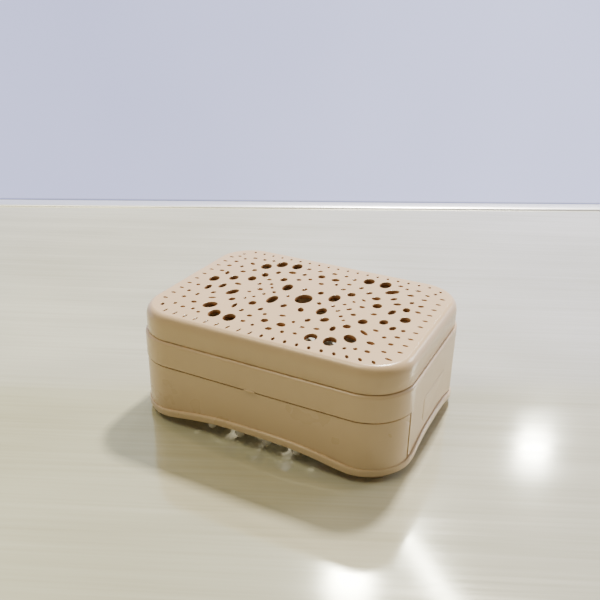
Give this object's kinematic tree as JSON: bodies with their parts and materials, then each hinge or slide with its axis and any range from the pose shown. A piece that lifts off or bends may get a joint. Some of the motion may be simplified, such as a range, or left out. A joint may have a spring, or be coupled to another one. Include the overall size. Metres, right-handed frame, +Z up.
{
  "type": "soap dish",
  "caption": "Covered soap dish with rounded corners: perforated lift-off lid, split body with an arched rim, and free-turning knobbed rollers in the open bottom.",
  "frame": {"origin": "centre of the outline on the plane that the feet stand on", "axes": "+X along the long side, +Y from the front long side (with the pry lip) to the back, +Z up out of the lid"},
  "size_m": [0.122, 0.0908, 0.0493],
  "materials": {
    "lid_plastic": "satin moulded, warm beige",
    "upper_body_plastic": "satin moulded, warm beige",
    "base_plastic": "satin moulded, warm beige",
    "roller_plastic": "soft matt, off-white"
  },
  "bodies": {
    "base": {"base_shell": "base_plastic"},
    "upper": {"upper_body": "upper_body_plastic"},
    "cover": {"lid": "lid_plastic"},
    "spinner_1": {"roller_1": "roller_plastic"},
    "spinner_2": {"roller_2": "roller_plastic"},
    "spinner_3": {"roller_3": "roller_plastic"},
    "spinner_4": {"roller_4": "roller_plastic"}
  },
  "joints": [
    {"name": "body_lift", "type": "slide", "parent": "base", "child": "upper", "axis": [0, 0, 1], "range_m": [0, 0.025]},
    {"name": "lid_lift", "type": "slide", "parent": "upper", "child": "cover", "axis": [0, 0, 1], "range_m": [0, 0.015]},
    {"name": "roller_1_spin", "type": "hinge", "parent": "base", "child": "spinner_1", "pos_m": [-0.0198, 0, 0.0069], "axis": [0, 1, 0], "continuous": true},
    {"name": "roller_2_spin", "type": "hinge", "parent": "base", "child": "spinner_2", "pos_m": [-0.0066, 0, 0.0069], "axis": [0, 1, 0], "continuous": true},
    {"name": "roller_3_spin", "type": "hinge", "parent": "base", "child": "spinner_3", "pos_m": [0.0066, 0, 0.0069], "axis": [0, 1, 0], "continuous": true},
    {"name": "roller_4_spin", "type": "hinge", "parent": "base", "child": "spinner_4", "pos_m": [0.0198, 0, 0.0069], "axis": [0, 1, 0], "continuous": true}
  ]
}
